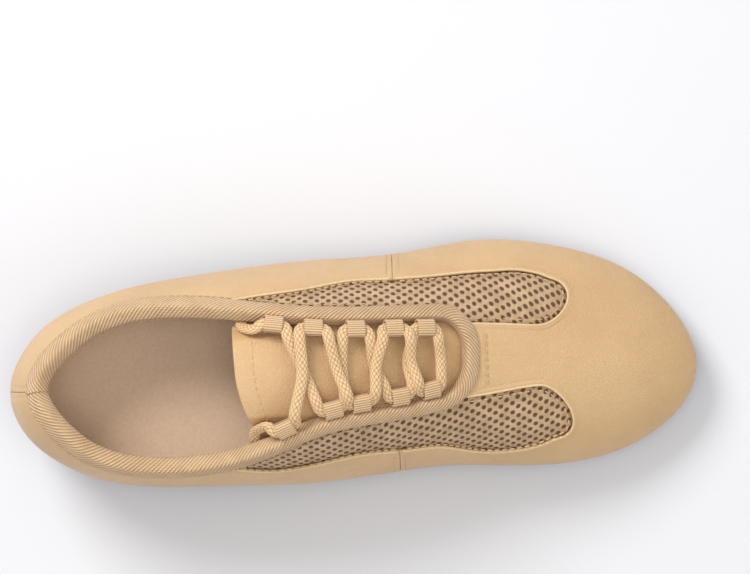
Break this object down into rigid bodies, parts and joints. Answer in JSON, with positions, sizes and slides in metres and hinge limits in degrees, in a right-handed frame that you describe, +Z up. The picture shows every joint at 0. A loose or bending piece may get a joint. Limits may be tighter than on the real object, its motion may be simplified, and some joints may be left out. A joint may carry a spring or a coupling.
{
  "type": "tap shoe",
  "caption": "Left lace-up tap shoe with a split sole, leather and mesh upper, webbing lace loops, and metal heel and toe taps.",
  "frame": {"origin": "on the floor, under the middle of the shoe's bounding box", "axes": "+X from heel to toe, +Y to the lateral (little toe) side, +Z up"},
  "size_m": [0.254, 0.0874, 0.0838],
  "materials": {
    "leather": "satin, fine grain",
    "mesh": "matt spacer mesh",
    "binding": "matt twill tape",
    "webbing": "matt ribbed webbing",
    "lace": "matt braid",
    "lining": "matt suede cloth",
    "insole": "matt cloth",
    "sole": "satin",
    "board": "matt fibreboard",
    "stiffener": "matt",
    "tap_metal": "brushed",
    "screw_steel": "satin",
    "aglet": "gloss"
  },
  "bodies": {
    "root": {"quarter_lateral": "leather", "quarter_medial": "leather", "mesh_panel_lateral": "mesh", "mesh_panel_medial": "mesh", "quarter_lining": "lining", "heel_counter": "stiffener", "topline_binding": "binding", "lace_loop_lateral_1": "webbing", "lace_loop_lateral_2": "webbing", "lace_loop_lateral_3": "webbing", "lace_loop_lateral_4": "webbing", "lace_loop_lateral_5": "webbing", "lace_loop_medial_1": "webbing", "lace_loop_medial_2": "webbing", "lace_loop_medial_3": "webbing", "lace_loop_medial_4": "webbing", "lace_loop_medial_5": "webbing", "lace": "lace", "aglet_lateral": "aglet", "aglet_medial": "aglet", "insole_board": "board", "insole": "insole", "shank": "screw_steel", "arch_cover": "leather", "heel_block": "sole", "heel_tap_board": "board", "heel_tap": "tap_metal", "heel_tap_screw_1": "screw_steel", "heel_tap_screw_2": "screw_steel", "heel_tap_screw_3": "screw_steel"},
    "forefoot": {"forefoot_outsole": "sole", "toe_tap_board": "board", "toe_tap": "tap_metal", "toe_tap_screw_1": "screw_steel", "toe_tap_screw_2": "screw_steel", "toe_tap_screw_3": "screw_steel", "vamp": "leather", "vamp_lining": "lining", "toe_puff": "stiffener"},
    "tongue": {"tongue": "leather", "tongue_lining": "lining"}
  },
  "joints": [
    {"name": "forefoot_flex", "type": "hinge", "parent": "root", "child": "forefoot", "pos_m": [0.05, 0, 0.01], "axis": [0, -1, 0], "range_deg": [0, 25], "stiffness_Nm_per_rad": 3, "deforming": ["vamp", "vamp_lining", "forefoot_outsole", "mesh_panel_lateral", "mesh_panel_medial", "insole", "insole_board"]},
    {"name": "tongue_press", "type": "hinge", "parent": "root", "child": "tongue", "pos_m": [0.0512, 0, 0.05], "axis": [0, 1, 0], "range_deg": [-12, 0], "stiffness_Nm_per_rad": 0.3}
  ]
}
